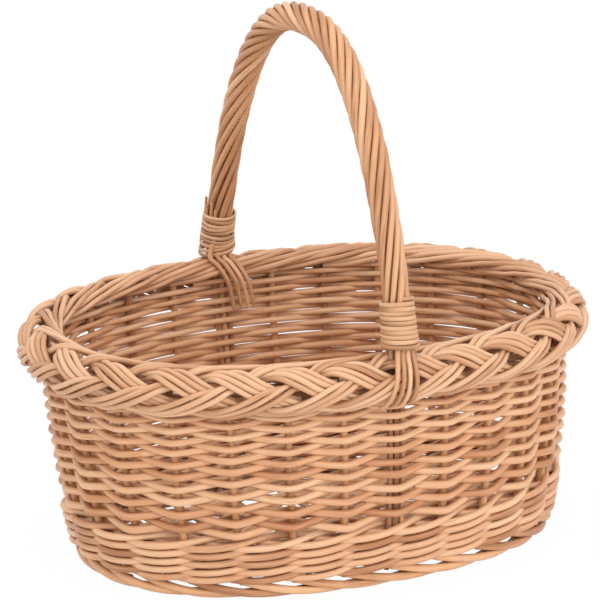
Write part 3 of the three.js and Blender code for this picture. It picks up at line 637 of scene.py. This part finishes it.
# Handle rods. Nine thin rods pushed in beside the bow at both feet and twisted round it until they hide it,
# tighter over the top. Their ends fan out over the border, outside at one side and inside at the other.
HANDLE_RODS = 9
HANDLE_ROD = 0.0025  # half thickness
WRAP_AT_FOOT = 0.0078  # middle of the rods from the middle of the bow
WRAP_AT_TOP = 0.0084
TWIST_AT_FOOT = -24.0  # radians a metre
TWIST_AT_TOP = -52.0
WRAP_POINTS = 200
TAIL_POINTS = 7  # points at each end of the wrapping that give way to the tails
TAIL_STEPS = 8  # points from knot to knot of a tail
# points from the tip of a rod, and its thickness there for its full thickness
TIP_TAPER = ((0, 0.4), (3, 0.6), (24, 0.7), (60, 1))

wrap = np.linspace(LASH_FOOT, arch_length - LASH_FOOT, WRAP_POINTS)
crown = np.sin(math.pi * wrap / arch_length) ** 2
twist = TWIST_AT_FOOT + (TWIST_AT_TOP - TWIST_AT_FOOT) * crown
turned = np.concatenate([[0], np.cumsum(twist[:-1] * np.diff(wrap))])
wrap_radius = WRAP_AT_FOOT + (WRAP_AT_TOP - WRAP_AT_FOOT) * crown
wrap_middle, wrap_outward = arch_place(wrap)
rod_step = 2 * math.pi / HANDLE_RODS


def smooth_line(knots, steps):
    """A smooth line through the knots."""
    knots = np.asarray(knots, float)
    padded = np.concatenate([2 * knots[:1] - knots[1:2], knots, 2 * knots[-1:] - knots[-2:-1]])
    part = np.linspace(0, 1, steps, endpoint=False)[:, None]
    spans = []
    for a, b, c, d in zip(padded, padded[1:], padded[2:], padded[3:]):
        bend = (2 * a - 5 * b + 4 * c - d) * part**2 + (3 * b - a - 3 * c + d) * part**3
        spans.append(b + 0.5 * ((c - a) * part + bend))
    return np.concatenate([*spans, knots[-1:]])


# degrees up from level outwards, and distance from the middle of the rolled border
OUTER_TAIL = ((60, 0.0242), (36, 0.0216), (8, 0.0213), (-20, 0.0213), (-46, 0.021), (-62, 0.0204))
INNER_TAIL = ((108, 0.0234), (130, 0.0215), (150, 0.0211), (170, 0.021), (196, 0.0212), (225, 0.028))
# millimetres along the basket at the top and at the tip of each tail
FAR_INSIDE = ((-11, 3), (-5, 9.5), (0, 15), (5, 20))
NEAR_OUTSIDE = ((-6.5, -20), (-2.5, -12), (1.5, -5), (5.5, 3))
FAR_LEAN = math.pi  # the rods on this side of the foot go inside the border, the others down into it
NEAR_LEAN = 0.0  # the rods on this side of the foot go outside the border, the others down into it
SUNK = (0.012, 0.022, 0.032)  # how far down, for the others
# short ends that stand out above the far lashing: degrees round the foot, and millimetres above the border
CUT_ENDS = ((226, 42), (244, 47), (268, 44), (292, 48))
CUT_END_ROOT = 0.012  # where they start, under the lashing
CUT_END_OUT = (0.009, 0.0114)  # from the middle of the bow at the root and at the tip
CUT_END_THICK = (0.0018, 0.001)
CUT_END_POINTS = 14


def tail_knots(way, shape, top, tip):
    """Knots of a rod's end over the border, from its top to its tip."""
    places = []
    for look, radius in shape:
        out = radius * math.cos(math.radians(look))
        rise = radius * math.sin(math.radians(look))
        places.append((roll_half_width + out, roll_height + rise))
    spread = np.linspace(top, tip, len(places)) / 1000
    return [np.array((x, way * y, z)) for x, (y, z) in zip(spread, places)]


def foot_tails(angles, way, lean, shape, fan, ends):
    """The tails of all rods at one foot of the handle: a fan over the border, and the rest sunk in it."""
    tails = [[end - UP * down for down in SUNK] for end in ends]
    leaning = np.argsort(-np.cos(angles - lean))[: len(fan)]
    in_order = sorted(leaning, key=lambda rod: math.sin(angles[rod]))
    for rod, (top, tip) in zip(in_order, fan):
        tails[rod] = tail_knots(way, shape, top, tip)
    return tails


angles = np.arange(HANDLE_RODS) * rod_step
coils = []
for rod in range(HANDLE_RODS):
    angle = angles[rod] + turned
    radial = wrap_outward * np.cos(angle)[:, None] + ALONG_BASKET * np.sin(angle)[:, None]
    radius = wrap_radius + wander(wrap, 0.2, 0.0002)
    coils.append((wrap_middle + radial * radius[:, None], radial))
far_ends = [coil[TAIL_POINTS] for coil, _ in coils]
near_ends = [coil[-TAIL_POINTS - 1] for coil, _ in coils]
far_tails = foot_tails(angles + turned[0], 1, FAR_LEAN, INNER_TAIL, FAR_INSIDE, far_ends)
near_tails = foot_tails(angles + turned[-1], -1, NEAR_LEAN, OUTER_TAIL, NEAR_OUTSIDE, near_ends)
rods = []
for rod, (coil, radial) in enumerate(coils):
    far_tail = smooth_line(far_tails[rod][::-1] + [far_ends[rod]], TAIL_STEPS)
    near_tail = smooth_line([near_ends[rod]] + near_tails[rod], TAIL_STEPS)
    path = np.concatenate([far_tail[:-1], coil[TAIL_POINTS:-TAIL_POINTS], near_tail[1:]])
    far_face = radial[:1].repeat(len(far_tail) - 1, 0)
    near_face = radial[-1:].repeat(len(near_tail) - 1, 0)
    face = np.concatenate([far_face, radial[TAIL_POINTS:-TAIL_POINTS], near_face])
    from_end = np.minimum(np.arange(len(path)), np.arange(len(path))[::-1])
    thick = HANDLE_ROD * (1 + wander(np.linspace(0, 1, len(path)), 0.7, 0.05))
    thick = thick * np.interp(from_end, *np.array(TIP_TAPER).T)
    rods.append((path, thick, chance.uniform(0.25, 0.95), face))
for look, top in CUT_ENDS:
    middle, outward = arch_place(np.linspace(CUT_END_ROOT, top / 1000, CUT_END_POINTS))
    radial = outward * math.cos(math.radians(look)) + ALONG_BASKET * math.sin(math.radians(look))
    path = middle + radial * np.linspace(*CUT_END_OUT, CUT_END_POINTS)[:, None]
    thick = np.linspace(*CUT_END_THICK, CUT_END_POINTS)
    rods.append((path, thick, chance.uniform(0.25, 0.95), radial))
rod_wood = willow("handle_rod_willow", srgb(216, 172, 135), srgb(198, 148, 107), srgb(158, 104, 66))
piece = bend_rods("handle_rods_willow", rods, rod_wood, sides=12)
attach(piece, "root")
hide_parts(*(f"handle_rod_{i + 1}" for i in range(HANDLE_RODS)))

# Lashings. A willow rod split lengthwise and shaved flat is wound tightly round each foot of the handle
# while it is wet, and its end is tucked under the turns. It shrinks as it dries and grips the rods.
LASH_RADIUS = 0.0119
LASH_FLARE = 0.0016  # the last turn lies this much further out than the first
LASH_TUCK = 0.0025  # the ends go in under the turns by this much
TUCK_TURNS = 0.2
LASH_STEPS = 36  # points in a turn
# turns from the top, and millimetres above the border
FAR_TURNS = ((0, 36), (4, 24.4), (5, 19.5), (8.4, 9.5), (10.4, 2.5))
NEAR_TURNS = ((0, 39), (10.6, 4))
FAR_HALF_WIDTH = 0.0015
NEAR_HALF_WIDTH = 0.0017
FAR_FLATNESS = 0.62  # thickness of the split rod for its width
NEAR_FLATNESS = 0.55
FAR_SLANT = 0.003  # the last turns of the far lashing are laid aslant
SLANT_TURNS = 2.2  # so many of them
SLANT_EASE = 0.8  # turns over which the slant begins

lash_wood = willow("split_willow", srgb(210, 170, 135), srgb(191, 145, 106), srgb(146, 98, 62))
for node, way, knots, half_width, flatness, slant in (
    ("lashing_far", 1, FAR_TURNS, FAR_HALF_WIDTH, FAR_FLATNESS, FAR_SLANT),
    ("lashing_near", -1, NEAR_TURNS, NEAR_HALF_WIDTH, NEAR_FLATNESS, 0.0),
):
    turns_down, heights = np.array(knots).T
    last = turns_down[-1]
    turns = np.linspace(0, last, int(LASH_STEPS * last))
    angle = 2 * math.pi * turns
    rise = np.interp(turns, turns_down, heights / 1000)
    aslant = slant * np.clip((turns - last + SLANT_TURNS) / SLANT_EASE, 0, 1) * np.sin(angle)
    rise = rise + aslant + wander(turns, 1.3, slant / 5 + 0.0003)
    middle, outward = arch_place(rise if way > 0 else arch_length - rise)
    radial = outward * np.cos(angle)[:, None] + ALONG_BASKET * np.sin(angle)[:, None]
    tuck = np.clip(1 - np.minimum(turns, last - turns) / TUCK_TURNS, 0, 1)
    radius = LASH_RADIUS + LASH_FLARE * (turns / last) ** 2 - LASH_TUCK * tuck + wander(turns, 0.9, 0.0002)
    coil = middle + radial * radius[:, None]
    tone = 0.55 + wander(turns, 1.7, 0.5)
    piece = bend_rods(f"{node}_split", [(coil, half_width, tone, radial)], lash_wood, 12, flatness)
    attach(piece, "root")
    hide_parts(node)

# Table, light and camera. A plain white table that fades into the background, soft light from a white room
# and from three large lamps, in front, at the right and overhead, and a long lens that looks at the basket
# from the photograph's angle.
TABLE_HALF = 6.0
TABLE_DROP = 0.0003  # the table top lies this far under the ground of the model
TABLE_FADE = 0.96  # how far the seen table fades to white, which leaves a faint shadow
AZIMUTH = math.radians(-27.96)
ELEVATION = math.radians(16.54)
DISTANCE = 3.4837
TARGET = Vector((0, 0, 0.18))
SENSOR = 36.0
FRAME_PIXELS = 600.0
LENS_PIXELS = 4704.0  # length of the lens in pixels of that frame
FRAME_SHIFT = (-5.1 / FRAME_PIXELS, 2.02 / FRAME_PIXELS)
ROOM_LIGHT = 1.06


def seen_rays(room):
    """1 for what the camera sees, also in gloss or through glass, and 0 for light on its way to things."""
    seen = room.node("ShaderNodeLightPath", {}, {}, "Is Camera Ray")
    for ray in ("Is Glossy Ray", "Is Transmission Ray"):
        other = room.node("ShaderNodeLightPath", {}, {}, ray)
        seen = room.node("ShaderNodeMath", {"operation": "MAXIMUM"}, {0: seen, 1: other})
    return seen


mesh = bpy.data.meshes.new("table")
corners = [(-1, -1), (1, -1), (1, 1), (-1, 1)]
mesh.from_pydata([(x * TABLE_HALF, y * TABLE_HALF, -TABLE_DROP) for x, y in corners], [], [(0, 1, 2, 3)])
table = bpy.data.objects.new("table", mesh)
bpy.context.scene.collection.objects.link(table)
table_white = bpy.data.materials.new("white_table")
table_white.use_nodes = True
tree = table_white.node_tree
surface = tree.nodes["Principled BSDF"]
surface.inputs["Base Color"].default_value = srgb(244, 243, 241)
surface.inputs["Roughness"].default_value = 0.9
room = Tone(tree)
glow = room.node("ShaderNodeEmission", {}, {"Color": (1, 1, 1, 1), "Strength": 1.0})
sockets = {0: seen_rays(room) * TABLE_FADE, 1: Tone(tree, surface.outputs[0]), 2: glow}
faded = room.node("ShaderNodeMixShader", {}, sockets)
tree.links.new(faded.socket, tree.nodes["Material Output"].inputs["Surface"])
mesh.materials.append(table_white)

world = bpy.data.worlds.new("white_room")
bpy.context.scene.world = world
world.use_nodes = True
tree = world.node_tree
backdrop = tree.nodes["Background"]
backdrop.inputs["Color"].default_value = (1, 1, 1, 1)
strength = ROOM_LIGHT + seen_rays(Tone(tree)) * (1 - ROOM_LIGHT)
tree.links.new(strength.socket, backdrop.inputs["Strength"])

level_back = Vector((math.sin(AZIMUTH), -math.cos(AZIMUTH), 0))
back = level_back * math.cos(ELEVATION) + Vector((0, 0, math.sin(ELEVATION)))
right = Vector((math.cos(AZIMUTH), math.sin(AZIMUTH), 0))
upward = back.cross(right)


def hang_lamp(name, place, size, power):
    """A square soft box that looks at the basket."""
    lamp = bpy.data.lights.new(name, "AREA")
    lamp.size = size
    lamp.energy = power
    hung = bpy.data.objects.new(name, lamp)
    bpy.context.scene.collection.objects.link(hung)
    hung.location = TARGET + place
    hung.rotation_euler = (-place).to_track_quat("-Z", "Y").to_euler()


hang_lamp("key_lamp", back * 1.7 + right * 0.3 + Vector((0, 0, 0.75)), 1.4, 12)
hang_lamp("side_lamp", back * 1.0 + right * 1.6 + Vector((0, 0, 0.4)), 1.2, 7)
hang_lamp("top_lamp", right * -0.3 + Vector((0, 0, 1.4)), 1.2, 6.5)

lens = bpy.data.cameras.new("camera")
lens.sensor_fit = "HORIZONTAL"
lens.sensor_width = SENSOR
lens.lens = SENSOR * LENS_PIXELS / FRAME_PIXELS
lens.shift_x, lens.shift_y = FRAME_SHIFT
camera = bpy.data.objects.new("camera", lens)
bpy.context.scene.collection.objects.link(camera)
axes = Matrix((right, upward, back)).transposed().to_4x4()
camera.matrix_world = Matrix.Translation(TARGET + back * DISTANCE) @ axes
bpy.context.scene.camera = camera
bpy.context.scene.view_settings.view_transform = "Standard"
